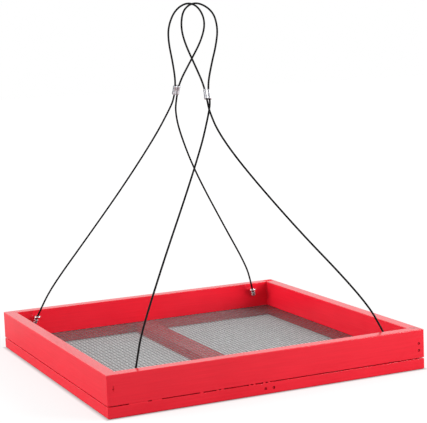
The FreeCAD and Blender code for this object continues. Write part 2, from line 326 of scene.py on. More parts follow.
class NodeSheet:
    """A material or world being put together node by node."""

    def __init__(self, owner: Material | bpy.types.World) -> None:
        """Start with no nodes.

        Args:
            owner: The material or world.
        """
        owner.use_nodes = True
        self.owner = owner
        self.tree = owner.node_tree
        self.tree.nodes.clear()

    def add(self, kind: str, inputs: dict[str | int, Any] | None = None, **settings: Any) -> bpy.types.Node:
        """Add a node, set it up and wire it.

        Args:
            kind: Its type without the ShaderNode prefix.
            inputs: Values or sockets by input name or number.
            **settings: Its own properties.

        Returns:
            The new node.
        """
        node = self.tree.nodes.new("ShaderNode" + kind)
        for name, value in settings.items():
            setattr(node, name, value)
        for name, value in (inputs or {}).items():
            if isinstance(value, Socket):
                self.tree.links.new(value, node.inputs[name])
            else:
                node.inputs[name].default_value = value
        return node

    def place(self) -> Socket:
        """The object's own coordinates."""
        return self.add("TexCoord").outputs["Object"]

    def moved(self, place: Socket, **change: Point) -> Socket:
        """Coordinates after a Location, Rotation or Scale."""
        return self.add("Mapping", {"Vector": place, **change}).outputs[0]

    def noise(self, place: Socket, scale: float, detail: float) -> Socket:
        """A soft random pattern."""
        return self.add("TexNoise", {"Vector": place, "Scale": scale, "Detail": detail}).outputs[0]

    def bump(self, height: Socket, strength: float, depth: float) -> Socket:
        """A surface that looks raised where the height is more."""
        return self.add("Bump", {"Height": height, "Strength": strength, "Distance": depth}).outputs[0]

    def ramp(self, source: Socket, stops: list[tuple[float, Colour]]) -> Socket:
        """Turn a number into a colour.

        Args:
            source: The number.
            stops: Two or more places from 0 to 1 and their colours.

        Returns:
            The colour.
        """
        node = self.add("ValToRGB", {"Fac": source})
        elements = node.color_ramp.elements
        for _ in stops[2:]:
            elements.new(0.5)
        for element, (place, colour) in zip(elements, stops):
            element.position = place
            element.color = colour
        return node.outputs["Color"]

    def spread(self, source: Socket, to: Range, since: Range = (0.0, 1.0)) -> Socket:
        """Stretch a number from one range over another."""
        ends = {"From Min": since[0], "From Max": since[1], "To Min": to[0], "To Max": to[1]}
        return self.add("MapRange", {"Value": source, **ends}).outputs["Result"]

    def math(self, operation: str, first: Any, second: Any = 0.0) -> Socket:
        """One step of arithmetic on numbers or sockets."""
        return self.add("Math", {0: first, 1: second}, operation=operation).outputs[0]

    def weigh(self, *parts: tuple[Socket, float]) -> Socket:
        """Add up numbers, each times its weight.

        Args:
            *parts: The numbers with their weights.

        Returns:
            The sum.
        """
        total, *others = (self.math("MULTIPLY", *part) for part in parts)
        for other in others:
            total = self.math("ADD", total, other)
        return total

    def coated(self, surface: dict[str, Any]) -> Material:
        """Finish a material with one shader, given by what goes into it."""
        self.add("OutputMaterial", {"Surface": self.add("BsdfPrincipled", surface).outputs[0]})
        return self.owner


@dataclass(frozen=True)
class RedPaint:
    """Glossy red paint over planed softwood, with the grain faintly raised under it."""

    grain: Grain
    colour: Colour = (0.85, 0.014, 0.033, 1.0)
    deep_colour: Colour = (0.75, 0.010, 0.025, 1.0)
    tone: float = 0.62
    deep_tone: float = 0.30
    streak: float = 700.0
    streak_stretch: Point = (0.035, 1.0, 1.0)
    streak_share: float = 0.45
    streak_rise: float = 0.7
    blotch: float = 14.0
    blotch_share: float = 0.55
    peel: float = 1500.0
    peel_rise: float = 0.22
    ring: float = 260.0
    ring_waver: float = 2.5
    ring_rise: float = 0.5
    heart: Point = (0.0, 0.031, 0.027)
    relief: float = 0.16
    relief_depth: float = 0.0006
    roughness: Range = (0.15, 0.25)

    def material(self) -> Material:
        """Make the finish, with rings round the heart of the tree on the sawn ends.

        Returns:
            The material.
        """
        sheet = NodeSheet(bpy.data.materials.new(f"red_paint_{self.grain.name.lower()}"))
        place = sheet.place()
        lengthwise = {"Rotation": (0.0, 0.0, self.grain.value)}
        turned = sheet.moved(place, **lengthwise)
        streaks = sheet.noise(sheet.moved(turned, Scale=self.streak_stretch), self.streak, detail=4.0)
        blotches = sheet.noise(place, self.blotch, detail=3.0)
        peel = sheet.noise(place, self.peel, detail=2.0)
        heart = sheet.moved(turned, Location=self.heart)
        waves = {"Vector": heart, "Scale": self.ring, "Distortion": self.ring_waver, "Detail": 2.0}
        rings = sheet.add("TexWave", waves, wave_type="RINGS", rings_direction="X").outputs["Fac"]
        normal = sheet.moved(sheet.add("NewGeometry").outputs["Normal"], **lengthwise)
        endwise = sheet.math("ABSOLUTE", sheet.add("SeparateXYZ", {0: normal}).outputs[0])
        figure = sheet.math("MULTIPLY", rings, sheet.math("GREATER_THAN", endwise, FACING))
        tone = sheet.weigh((streaks, self.streak_share), (blotches, self.blotch_share))
        height = sheet.weigh((streaks, self.streak_rise), (peel, self.peel_rise), (figure, self.ring_rise))
        stops = [(self.deep_tone, self.deep_colour), (self.tone, self.colour)]
        return sheet.coated(
            {
                "Base Color": sheet.ramp(tone, stops),
                "Roughness": sheet.spread(blotches, self.roughness),
                "Normal": sheet.bump(height, self.relief, self.relief_depth),
            }
        )


@dataclass(frozen=True)
class BareMetal:
    """Metal with a fine mottle and small scuffs; on a crimp, painted shade darkens the narrow sides and the
    groove between barrels.
    """

    name: str
    colour: Colour
    dull_colour: Colour
    roughness: float
    side_colour: Colour | None = None
    tone: float = 0.60
    dull_tone: float = 0.35
    side_tone: float = 0.10
    side_shift: float = 0.45
    side_metallic: float = 0.1
    mottle: float = 900.0
    mottle_roughness: Range = (1.35, 0.75)
    scuff: float = 3000.0
    scuff_strength: float = 0.25
    scuff_depth: float = 0.00006

    def material(self) -> Material:
        """Make the finish.

        Returns:
            The material.
        """
        sheet = NodeSheet(bpy.data.materials.new(self.name))
        place = sheet.place()
        mottle = sheet.noise(place, self.mottle, detail=3.0)
        scuffs = sheet.noise(place, self.scuff, detail=2.0)
        tone = mottle
        metallic: float | Socket = 1.0
        stops = [(self.dull_tone, self.dull_colour), (self.tone, self.colour)]
        # Painted shade: a near-black, barely metallic colour on the marked sides and groove
        if self.side_colour:
            sides = sheet.add("Attribute", attribute_name=PAINTED_SHADE).outputs["Fac"]
            tone = sheet.math("SUBTRACT", mottle, sheet.math("MULTIPLY", sides, self.side_shift))
            metallic = sheet.spread(sides, (1.0, self.side_metallic))
            stops.insert(0, (self.side_tone, self.side_colour))
        rough = tuple(self.roughness * share for share in self.mottle_roughness)
        return sheet.coated(
            {
                "Base Color": sheet.ramp(tone, stops),
                "Metallic": metallic,
                "Roughness": sheet.spread(mottle, rough),
                "Normal": sheet.bump(scuffs, self.scuff_strength, self.scuff_depth),
            }
        )


@dataclass(frozen=True)
class CableCoating:
    """Smooth black plastic drawn over wire cable."""

    colour: Colour = (0.0025, 0.0025, 0.003, 1.0)
    worn_colour: Colour = (0.006, 0.006, 0.007, 1.0)
    tone: float = 0.40
    worn_tone: float = 0.70
    ripple: float = 1800.0
    ripple_strength: float = 0.12
    ripple_depth: float = 0.0001
    roughness: Range = (0.30, 0.44)
    specular: float = 0.06

    def material(self) -> Material:
        """Make the finish.

        Returns:
            The material.
        """
        sheet = NodeSheet(bpy.data.materials.new("cable_coating"))
        ripple = sheet.noise(sheet.place(), self.ripple, detail=2.0)
        stops = [(self.tone, self.colour), (self.worn_tone, self.worn_colour)]
        return sheet.coated(
            {
                "Base Color": sheet.ramp(ripple, stops),
                "Roughness": sheet.spread(ripple, self.roughness),
                "Specular IOR Level": self.specular,
                "Normal": sheet.bump(ripple, self.ripple_strength, self.ripple_depth),
            }
        )


NAIL_STEEL = BareMetal("nail_steel", (0.14, 0.012, 0.014, 1.0), (0.08, 0.008, 0.009, 1.0), 0.7)
EYE_ZINC = BareMetal("eye_zinc", (0.80, 0.80, 0.79, 1.0), (0.66, 0.67, 0.68, 1.0), 0.26)
MESH_ZINC = BareMetal("mesh_galvanised", (0.30, 0.305, 0.31, 1.0), (0.20, 0.205, 0.21, 1.0), 0.45)
CRIMP_ALUMINIUM = BareMetal(
    "crimp_aluminium",
    (0.82, 0.82, 0.85, 1.0),
    (0.68, 0.68, 0.72, 1.0),
    0.42,
    # Near-black colour of the painted shade on the sleeve's sides and groove
    side_colour=(0.13, 0.13, 0.145, 1.0),
)


@dataclass
class FeederFinishes:
    """Every material of the feeder, made once."""

    nail: Material = field(default_factory=NAIL_STEEL.material)
    eye: Material = field(default_factory=EYE_ZINC.material)
    crimp: Material = field(default_factory=CRIMP_ALUMINIUM.material)
    wire: Material = field(default_factory=MESH_ZINC.material)
    cable: Material = field(default_factory=CableCoating().material)
    paint_along: Material = field(default_factory=RedPaint(Grain.ALONG).material)
    paint_across: Material = field(default_factory=RedPaint(Grain.ACROSS).material)


@dataclass
class Piece:
    """What a finished piece is, so that it can be tied to the frame."""

    body: str
    slot: str
    node: str

    def hand_over(self, obj: Shape, material: Material) -> Shape:
        """Dress an object and tie it to the frame.

        Args:
            obj: The finished object.
            material: Its finish.

        Returns:
            The same object.
        """
        obj.data.materials.append(material)
        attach(obj, self.body)
        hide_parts(self.node)
        LOG.info("%s rides on %s and stands for %s", obj.name, self.body, self.node)
        return obj


@dataclass
class Timber:
    """A board, a strip or the brace of the tray, in red paint."""

    finishes: FeederFinishes
    nails: Nails
    node: str
    ease: float = 0.0006
    seam_ease: float = 0.00025
    foot_ease: float = 0.0013
    ease_steps: int = 3
    mouth_sides: int = 24
    mouth_radius: float = 0.00102
    mouth_flare: Point = (1.45, 1.45, 1.0)
    mouth_depth: float = 0.0007
    bridge_inset: float = 0.00015
    bridge_steps: int = 2
    bridge_depth: float = 0.001
    bridge_overlap: float = 0.0003
    bridges: tuple[Range, ...] = (
        (-0.134, -0.117),
        (-0.1136, -0.1047),
        (-0.070, -0.067),
        (-0.055, -0.0525),
        (-0.0508, -0.048),
        (-0.0244, -0.023),
        (-0.0203, -0.0183),
        (-0.0108, -0.0088),
        (-0.0061, -0.0041),
    )

    def __post_init__(self) -> None:
        """Look up where the timber is, and where the walls whose ends it covers begin."""
        side, kind = self.node.split("_")
        self.low, self.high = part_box(self.node)
        self.seam = self.low.z if kind == "board" else self.high.z
        self.outer = self.low.y if side == "front" else self.high.y
        self.covers_ends = side in ("front", "back")
        self.reach = abs(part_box("left_" + kind)[1].x) if self.covers_ends else 0.0

    def build(self) -> None:
        """Saw the timber, round off its edges, sink its nail marks and paint it."""
        plank = Bench.block(self.node + "_timber", self.low, self.high)
        if self.covers_ends:
            with Bench.editing(plank):
                for place in (-self.reach, self.reach):
                    Bench.slice(ACROSS, place)
        self._ease(plank)
        for mark in self.nails.marks_in(self.low, self.high):
            self._nail_mouth(plank, mark)
        if self.node == "front_strip":
            plank = Bench.join([plank, *self._paint_bridges()])
        Bench.smooth_edges(plank)
        paint = self.finishes.paint_across if self.covers_ends else self.finishes.paint_along
        Piece("tray", "red_paint", self.node).hand_over(plank, paint)

    def _is_eased(self, a: Vector, b: Vector) -> bool:
        """Whether an edge is rounded off, which none is where another wall meets it.

        Args:
            a: One end of the edge.
            b: Its other end.

        Returns:
            Whether it is.
        """
        middle = (a + b) / 2
        along = abs((a - b).y) > TOUCH
        if not self.covers_ends:
            return along
        outside = abs(middle.y - self.outer) < TOUCH
        if abs((a - b).x) > TOUCH:
            return outside or abs(middle.x) < self.reach
        return abs(abs(middle.x) - self.high.x) < TOUCH and (outside or along)

    def _ease(self, plank: Shape) -> None:
        """Round off the edges, those beside the seam least and those on the ground most.

        Args:
            plank: The timber's mesh.
        """
        mesh = plank.data
        weights = mesh.attributes.new("bevel_weight_edge", "FLOAT", "EDGE")
        for edge, weight in zip(mesh.edges, weights.data):
            a, b = (mesh.vertices[number].co for number in edge.vertices)
            width = self.ease
            if max(abs(a.z - self.seam), abs(b.z - self.seam)) < TOUCH:
                width = self.seam_ease
            elif max(a.z, b.z) < TOUCH:
                width = self.foot_ease
            weight.value = self._is_eased(a, b) * width / self.foot_ease
        Bench.modify(plank, "BEVEL", width=self.foot_ease, segments=self.ease_steps, limit_method="WEIGHT")

    def _paint_bridges(self) -> list[Shape]:
        """The runs of paint that close the mouth of the front seam here and there.

        Returns:
            The runs of paint.
        """
        front = self.outer + self.bridge_inset
        foot = self.seam - self.bridge_overlap
        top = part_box("front_board")[0].z + self.bridge_overlap
        runs = []
        for start, end in self.bridges:
            far = Vector((end, front + self.bridge_depth, top))
            run = Bench.block("paint_bridge", Vector((start, front, foot)), far)
            Bench.modify(run, "BEVEL", width=self.bridge_inset, segments=self.bridge_steps)
            runs.append(run)
        return runs

    def _nail_mouth(self, plank: Shape, mark: Matrix) -> None:
        """Sink a small flared hole over a nail that is driven into a timber.

        Args:
            plank: The timber.
            mark: Where it goes, from upright at the origin.
        """
        tool = Bench.rod("nail_mouth_tool", self.mouth_sides, self.mouth_radius, 2 * self.mouth_depth)
        with Bench.editing(tool):
            Bench.pick(tool, "faces", lambda face: face.normal.z > FACING)
            Bench.widen(self.mouth_flare, about=(0.0, 0.0, self.mouth_depth))
        Bench.settle(tool, mark)
        Bench.carve(plank, tool, "DIFFERENCE")


@dataclass
class Nails:
    """The wire nails of the tray: pairs in the corners and the brace's ends, and one way up in the strips."""

    finishes: FeederFinishes
    sides: int = 16
    shank_radius: float = 0.0007
    head_radius: float = 0.001
    head_height: float = 0.0008
    rim: float = 0.0002
    rim_rise: float = 0.00016
    dish: float = 0.0004
    dish_depth: float = 0.0002
    length: float = 0.022
    tip: float = 0.0025
    tip_share: float = 0.08
    set_depth: float = 0.0007
    strip_inset: float = 0.0605
    filled_mark: Point = (-0.147, -0.1525, 0.0178)
    torn_mark: Point = (-0.147, -0.1525, 0.0242)
    tear: Point = (0.62, 1.75, 1.0)
    tear_rise: float = 0.0012
    places: dict[str, list[Matrix]] = field(default_factory=dict)

    def __post_init__(self) -> None:
        """Work out where each nail is, from the frame."""
        for node in ("corner_nails", "brace_nails"):
            low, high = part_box(node)
            across = (low.x + self.head_radius, high.x - self.head_radius)
            heights = sorted({round(low.z + self.head_radius, 6), round(high.z - self.head_radius, 6)})
            faces = (low.y - self.set_depth, high.y + self.set_depth)
            self.places[node] = [
                self._place((x, y, z), (0.0, math.copysign(1.0, y), 0.0))
                for y in faces
                for x in across
                for z in heights
            ]
        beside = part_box("strip_nails")[1].x - self.head_radius
        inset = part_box("front_strip")[1].x - self.strip_inset
        pairs = [(x, y) for x in (-inset, inset) for y in (-beside, beside)]
        pairs += [(y, x) for x, y in pairs]
        self.places["strip_nails"] = [self._place((x, y, 0.0), (0.0, 0.0, -1.0)) for x, y in pairs]

    @staticmethod
    def _place(face: Point, out: Point) -> Matrix:
        """Where a nail goes that is upright at the origin, by a point of a face and the way out of it."""
        return Matrix.Translation(face) @ pointing(Vector(out))

    def marks_in(self, low: Vector, high: Vector) -> list[Matrix]:
        """Where a timber's open nail marks go; the one where the wood is torn is stretched.

        Args:
            low: The timber's lowest corner.
            high: The timber's highest corner.

        Returns:
            Their places, from upright at the origin.
        """
        marks = []
        for place in sum(self.places.values(), []):
            head = place @ Vector((0.0, 0.0, -self.head_height))
            inside = all(a < b < c for a, b, c in zip(low, head, high))
            if not inside or self._same(place, self.filled_mark):
                continue
            if self._same(place, self.torn_mark):
                rise = Matrix.Translation((0.0, 0.0, self.tear_rise))
                place = rise @ place @ Matrix.Diagonal((*self.tear, 1.0))
            marks.append(place)
        return marks

    def _same(self, place: Matrix, mark: Point) -> bool:
        """Whether a nail is the one with this mark."""
        return (place.translation - Vector(mark)).length < self.head_radius

    def build(self) -> None:
        """Make the three sets of nails."""
        first = self._nail()
        for node, places in self.places.items():
            group = Bench.join([Bench.twin(first, node + "_steel", place) for place in places])
            Piece("tray", "nail_steel", node).hand_over(group, self.finishes.nail)
        bpy.data.objects.remove(first)

    def _nail(self) -> Shape:
        """One nail with the timber's face at z = 0 and its point below.

        Returns:
            The nail, ready to be copied.
        """
        neck = -self.set_depth - self.head_height
        end = -self.set_depth - self.length
        shank = neck - end - self.tip
        wider = self.head_radius / self.shank_radius
        middle = (0.0, 0.0, neck - shank / 2)
        nail = Bench.rod("nail", self.sides, self.shank_radius, shank, location=middle)
        with Bench.editing(nail):
            Bench.pick(nail, "faces", lambda face: face.normal.z > FACING)
            Bench.pull(ORIGIN)
            Bench.widen((wider, wider, 1.0), about=(0.0, 0.0, neck))
            Bench.pull((0.0, 0.0, self.head_height))
            bpy.ops.mesh.inset(thickness=self.rim, depth=self.rim_rise)
            bpy.ops.mesh.inset(thickness=self.dish, depth=-self.dish_depth)
            foot = neck - shank + TOUCH
            Bench.pick(nail, "faces", lambda face: face.calc_center_median().z < foot)
            Bench.pull((0.0, 0.0, -self.tip))
            Bench.widen((self.tip_share, self.tip_share, 1.0), about=(0.0, 0.0, end))
        Bench.smooth(nail)
        return nail


@dataclass
class WovenFloor:
    """The wire floor: two sets of crimped wires woven over and under each other."""

    finishes: FeederFinishes
    wires: int = 73
    sides: int = 8
    sharp: float = 75.0

    def __post_init__(self) -> None:
        """Work out the wires' thickness and pitch from the frame."""
        self.low, self.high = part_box("mesh_screen")
        self.thick = (self.high.z - self.low.z) / 2
        self.pitch = (self.high.x - self.low.x - self.thick) / (self.wires - 1)

    def build(self) -> None:
        """Make the wires that run across, and turn a copy of them over for those that run along."""
        across = self._wires()
        lift = Matrix.Translation((0.0, 0.0, (self.low.z + self.high.z) / 2))
        over = Matrix.Rotation(math.pi, 4, Vector((1.0, 1.0, 0.0)))
        along = Bench.twin(across, "mesh_wires_along", lift @ over @ lift.inverted())
        for wires in (across, along):
            Piece("tray", "mesh_wire", "mesh_screen").hand_over(wires, self.finishes.wire)

    def _wires(self) -> Shape:
        """One set of wires, all running along X.

        Returns:
            The wires as one object.
        """
        half = self.thick / 2
        start = Vector((self.low.x + half, self.low.y + half, self.high.z - half))
        odd = self._wire("mesh_wires_across", start, -self.thick)
        even = self._wire("mesh_wire_even", start + Vector((0.0, self.pitch, -self.thick)), self.thick)
        for wire, count in ((odd, self.wires // 2 + 1), (even, self.wires // 2)):
            self._repeat(wire, count, (0.0, 2 * self.pitch, 0.0))
        return Bench.join([odd, even])

    def _wire(self, name: str, start: Vector, rise: float) -> Shape:
        """One crimped wire, with its ends closed.

        Args:
            name: Its name.
            start: Middle of its first end.
            rise: From its first crossing to its second.

        Returns:
            The wire.
        """
        turn = (0.0, QUARTER_TURN, 0.0)
        wire = Bench.ring(name, self.sides, self.thick / 2, location=start, rotation=turn)
        with Bench.editing(wire):
            for change in (rise, -rise):
                Bench.pull((self.pitch, 0.0, change))
        self._repeat(wire, self.wires // 2, (2 * self.pitch, 0.0, 0.0))
        Bench.close(wire)
        Bench.smooth(wire, self.sharp)
        return wire

    @staticmethod
    def _repeat(wire: Shape, count: int, step: Point) -> None:
        """Set this many of a wire a step apart, joined where they meet."""
        steps = {"use_relative_offset": False, "use_constant_offset": True, "constant_offset_displace": step}
        Bench.modify(wire, "ARRAY", count=count, use_merge_vertices=True, merge_threshold=TOUCH, **steps)


@dataclass
class ScrewEyes:
    """The four small screw eyes that the cables pass through: bent wire with a screw on its end."""

    finishes: FeederFinishes
    sides: int = 14
    sharp: float = 45.0
    ring_radius: float = 0.0027
    ring_turn: float = math.radians(330.0)
    ring_steps: int = 40
    wire_radius: float = 0.0008
    standoff: float = 0.005
    core_radius: float = 0.00085
    screw_length: float = 0.0065
    screw_tip: float = 0.002
    tip_share: float = 0.1
    thread_pitch: float = 0.0009
    thread_height: float = 0.00025
    thread_sides: int = 4

    def build(self) -> None:
        """Make one eye and copy it to its four places."""
        first = Bench.join([self._loop(), self._screw(), self._thread()])
        Bench.smooth(first, self.sharp)
        for wall in (Side.FRONT, Side.BACK):
            for end in (Side.LEFT, Side.RIGHT):
                node = f"{wall.label}_{end.label}_eye"
                eye = Bench.twin(first, node + "_wire", self._place(node, wall))
                Piece("tray", "eye_steel", node).hand_over(eye, self.finishes.eye)
        bpy.data.objects.remove(first)

    def _place(self, node: str, wall: Side) -> Matrix:
        """Where the middle of a ring is, and its turn towards its wall.

        Args:
            node: The eye's node.
            wall: Its wall.

        Returns:
            The eye's place.
        """
        low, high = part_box(node)
        behind = wall is Side.BACK
        middle = (low + high) / 2
        middle.y = (low.y if behind else high.y) + wall.outward * (self.ring_radius + self.wire_radius)
        return Matrix.Translation(middle) @ Matrix.Rotation(0.0 if behind else math.pi, 4, "Z")

    def _loop(self) -> Shape:
        """The ring, bent round from the neck until it nearly closes, and the neck.

        Returns:
            The ring and neck as one closed mesh.
        """
        place = {"location": (0.0, self.ring_radius, 0.0), "rotation": (0.0, QUARTER_TURN, 0.0)}
        ring = Bench.ring("screw_eye_ring", self.sides, self.wire_radius, fill_type="NGON", **place)
        with Bench.editing(ring):
            bpy.ops.mesh.spin(steps=self.ring_steps, angle=self.ring_turn, center=ORIGIN, axis=UP)
        Bench.close(ring)
        neck = self._rod("screw_eye_neck", self.wire_radius, self.ring_radius, self.standoff)
        Bench.carve(ring, neck, "UNION")
        return ring

    def _rod(self, name: str, radius: float, start: float, end: float) -> Shape:
        """A cylinder towards the wall, from one distance to another."""
        place = {"location": (0.0, (start + end) / 2, 0.0), "rotation": (QUARTER_TURN, 0.0, 0.0)}
        return Bench.rod(name, self.sides, radius, end - start, **place)

    def _screw(self) -> Shape:
        """The core of the screw, pointed at its end.

        Returns:
            The core.
        """
        end = self.standoff + self.screw_length
        core = self._rod("screw_eye_core", self.core_radius, self.standoff, end)
        with Bench.editing(core):
            Bench.pick(core, "faces", lambda face: face.normal.y > FACING)
            Bench.pull((0.0, self.screw_tip, 0.0))
            Bench.widen((self.tip_share, 1.0, self.tip_share), about=(0.0, end + self.screw_tip, 0.0))
        return core

    def _thread(self) -> Shape:
        """The ridge that winds round the core.

        Returns:
            The ridge.
        """
        place = {"location": (self.core_radius, 0.0, 0.0), "rotation": (QUARTER_TURN, 0.0, 0.0)}
        ridge = Bench.ring("screw_eye_thread", self.thread_sides, self.thread_height, **place)
        turns = int((self.screw_length - self.thread_pitch) / self.thread_pitch)
        turn = {"screw_offset": self.thread_pitch, "steps": self.sides, "render_steps": self.sides}
        Bench.modify(ridge, "SCREW", axis="Z", angle=2 * math.pi, iterations=turns, **turn)
        Bench.close(ridge)
        along = Matrix.Translation((0.0, self.standoff + self.thread_pitch / 2, 0.0))
        return Bench.settle(ridge, along @ Matrix.Rotation(-QUARTER_TURN, 4, "X"))


@dataclass(frozen=True)
class Crimp:
    """A metal sleeve with a barrel for each strand, pressed in a band round its middle."""

    radius: float
    height: float
    strands: tuple[float, ...]
    band: float
    ramp: float
    squeeze: Point
    bore_radius: float = 0.000972
    sides: int = 32
    flat: float = math.radians(1.0)
    end_ease: float = 0.0003
    end_steps: int = 3
    sharp: float = 40.0
    # Where the painted shade on the sides starts and is full, and how far it spreads from the groove
    side_start: float = 0.58
    side_full: float = 0.85
    groove_reach: float = 0.0007

    def build(self, name: str) -> Shape:
        """Make the sleeve, upright at the origin.

        Args:
            name: Its name.

        Returns:
            The sleeve.
        """
        first, *others = self.strands
        sleeve = self._barrel(name, self.radius, self.height, first)
        for across in others:
            Bench.carve(sleeve, self._barrel("barrel", self.radius, self.height, across), "UNION")
        self._press(sleeve)
        for across in self.strands:
            bore = self._barrel("strand_bore", self.bore_radius, 2 * self.height, across)
            Bench.carve(sleeve, bore, "DIFFERENCE")
        self._mark_dull(sleeve)
        Bench.smooth(sleeve, self.sharp)
        return sleeve

    def _barrel(self, name: str, radius: float, height: float, across: float) -> Shape:
        """An upright cylinder for one strand."""
        return Bench.rod(name, self.sides, radius, height, location=(across, 0.0, 0.0))

    def _press(self, sleeve: Shape) -> None:
        """Press the band round a sleeve's middle, and round off the sleeve's ends.

        Args:
            sleeve: The upright sleeve.
        """
        half = self.band / 2
        top = self.height / 2
        with Bench.editing(sleeve):
            bpy.ops.mesh.dissolve_limited(angle_limit=self.flat)
            for level in (-half - self.ramp, -half, half, half + self.ramp):
                Bench.slice(UP, level)
            Bench.pick(sleeve, "verts", lambda corner: abs(corner.co.z) < half + TOUCH)
            Bench.widen(self.squeeze, about=ORIGIN)
            Bench.pick(sleeve, "edges", lambda edge: min(abs(end.co.z) for end in edge.verts) > top - TOUCH)
            bpy.ops.mesh.bevel(offset=self.end_ease, segments=self.end_steps, affect="EDGES")

    def _mark_dull(self, sleeve: Shape) -> None:
        """Note at each corner how much painted shade it gets, on a narrow side or in the groove between two
        barrels.

        Args:
            sleeve: The upright sleeve.
        """
        mesh = sleeve.data
        grooved = len(self.strands) > 1
        shares = mesh.attributes.new(PAINTED_SHADE, "FLOAT", "POINT").data
        for corner, share in zip(mesh.vertices, shares):
            # Painted shade: strongest where the normal points across the sleeve, and between the barrels
            side = (abs(corner.normal.x) - self.side_start) / (self.side_full - self.side_start)
            groove = grooved * (1.0 - abs(corner.co.x) / self.groove_reach)
            share.value = min(max(side, groove, 0.0), 1.0)


FERRULE = Crimp(0.00215, 0.0091, (-0.0016, 0.0016), band=0.0032, ramp=0.001, squeeze=(0.97, 0.88, 1.0))
STOP = Crimp(0.0021, 0.004, (0.0,), band=0.0016, ramp=0.0004, squeeze=(1.0, 0.78, 1.0))


@dataclass
class Hanger:
    """One looped cable with its ferrule and end stops, on its leaning plane."""

    finishes: FeederFinishes
    side: Side
    origin: Vector
    route: Route
    length: float
    ferrule: Point
    diameter: float = 0.0018
    hook_height: float = 0.338
    hook_gap: float = 0.0016
    eye_across: float = 0.122
    foot_slope: float = 0.3
    stop_top: float = 0.003
    ring_steps: int = 5
    path_steps: int = 14

    @property
    def body(self) -> str:
        """The body that the hanger rides on."""
        return self.side.label + "_hanger"

    @property
    def plane(self) -> Matrix:
        """The leaning plane: X along the wall, Y out of the plane and Z up it."""
        lean = math.atan2(abs(self.origin.y) - self.hook_gap, self.hook_height - self.origin.z)
        return Matrix.Translation(self.origin) @ Matrix.Rotation(self.side.outward * lean, 4, "X")

    def build(self) -> None:
        """Make the cable and what is crimped on it."""
        crimped = [self._ferrule(), self._stop(Side.LEFT), self._stop(Side.RIGHT)]
        self._cable()

    @staticmethod
    def _spot(across: float, up: float, out: float = 0.0) -> Vector:
        """A point of the route as a place on the plane."""
        return Vector((across, out, up))

    def _cable(self) -> Shape:
        """The cable as one smooth round curve along its route.

        Returns:
            The cable.
        """
        node = self.side.label + "_cable"
        curve = bpy.data.curves.new(node + "_coated", "CURVE")
        curve.dimensions = "3D"
        curve.resolution_u = self.path_steps
        curve.bevel_depth = self.diameter / 2
        curve.bevel_resolution = self.ring_steps
        curve.use_fill_caps = True
        spline = curve.splines.new("NURBS")
        spline.points.add(len(self.route) - 1)
        for knot, point in zip(spline.points, self.route):
            knot.co = (*(self.plane @ self._spot(*point)), 1.0)
        spline.order_u = 3
        spline.use_endpoint_u = True
        cable = bpy.data.objects.new(curve.name, curve)
        bpy.context.scene.collection.objects.link(cable)
        return Piece(self.body, "cable_coating", node).hand_over(cable, self.finishes.cable)

    def _crimp(self, node: str, kind: Crimp, seat: Matrix) -> Shape:
        """Make a sleeve and set it where it sits on the leaning plane."""
        sleeve = Bench.settle(kind.build(node + "_sleeve"), self.plane @ seat)
        return Piece(self.body, "crimp_aluminium", node).hand_over(sleeve, self.finishes.crimp)

    def _ferrule(self) -> Shape:
        """The double-barrel sleeve on the two strands.

        Returns:
            The ferrule.
        """
        across, up, tilt = self.ferrule
        seat = Matrix.Translation((across, 0.0, up)) @ Matrix.Rotation(tilt, 4, "Y")
        return self._crimp(self.side.label + "_ferrule", FERRULE, seat)

    def _stop(self, end: Side) -> Shape:
        """The crimped stop on one end of the cable, under its eye.

        Args:
            end: The left or the right end.

        Returns:
            The stop.
        """
        down = Vector((end.outward * self.foot_slope, 0.0, -1.0)).normalized()
        eye = Vector((end.outward * self.eye_across, 0.0, 0.0))
        seat = Matrix.Translation(eye + down * (self.stop_top + STOP.height / 2)) @ pointing(-down)
        return self._crimp(f"{self.side.label}_{end.label}_stop", STOP, seat)


# Cable routes on their leaning planes: across the tray, up the plane and, where strands cross, out of it
FRONT_ROUTE: Route = [
    (-0.12424, -0.00747),
    (-0.1175, 0.011),
    (-0.109, 0.0335),
    (-0.0765, 0.0925),
    (-0.043, 0.15),
    (-0.018, 0.195, 0.0006),
    (-0.0085, 0.2145, 0.0018),
    (-0.0026, 0.228, 0.0019),
    (-0.0002, 0.2365),
    (0.0007, 0.2525),
    (0.0095, 0.274),
    (0.018, 0.292),
    (0.0238, 0.3095),
    (0.0225, 0.327),
    (0.008, 0.337),
    (-0.0065, 0.3305),
    (-0.013, 0.314),
    (-0.0132, 0.297),
    (-0.007, 0.271),
    (-0.0031, 0.2535),
    (-0.0029, 0.2365),
    (-0.0040, 0.227, -0.0019),
    (0.0005, 0.205, -0.0018),
    (0.0195, 0.1685, -0.001),
    (0.059, 0.1075),
    (0.0935, 0.0595),
    (0.1125, 0.0285),
    (0.11884, 0.01054),
    (0.12424, -0.00747),
]
BACK_ROUTE: Route = [
    (-0.12424, -0.00747),
    (-0.1185, 0.0115),
    (-0.108, 0.037),
    (-0.076, 0.09),
    (-0.044, 0.1445),
    (-0.017, 0.196),
    (-0.005, 0.2255),
    (-0.0016, 0.2365),
    (-0.0016, 0.2535),
    (-0.007, 0.274),
    (-0.0148, 0.2975),
    (-0.0168, 0.3135),
    (-0.0118, 0.3298),
    (0.0005, 0.3368),
    (0.0128, 0.3305),
    (0.021, 0.3155),
    (0.0192, 0.297),
    (0.0105, 0.2755),
    (0.0018, 0.2535),
    (0.0012, 0.2365),
    (0.0018, 0.223),
    (0.0095, 0.2),
    (0.032, 0.1545),
    (0.074, 0.087),
    (0.108, 0.034),
    (0.1178, 0.0112),
    (0.12424, -0.00747),
]

# Ferrules on the same planes: the middle across the tray and up the plane, and the tilt
FRONT_FERRULE: Point = (-0.0012, 0.2439, math.radians(6.5))
BACK_FERRULE: Point = (-0.0002, 0.2466, math.radians(2.0))


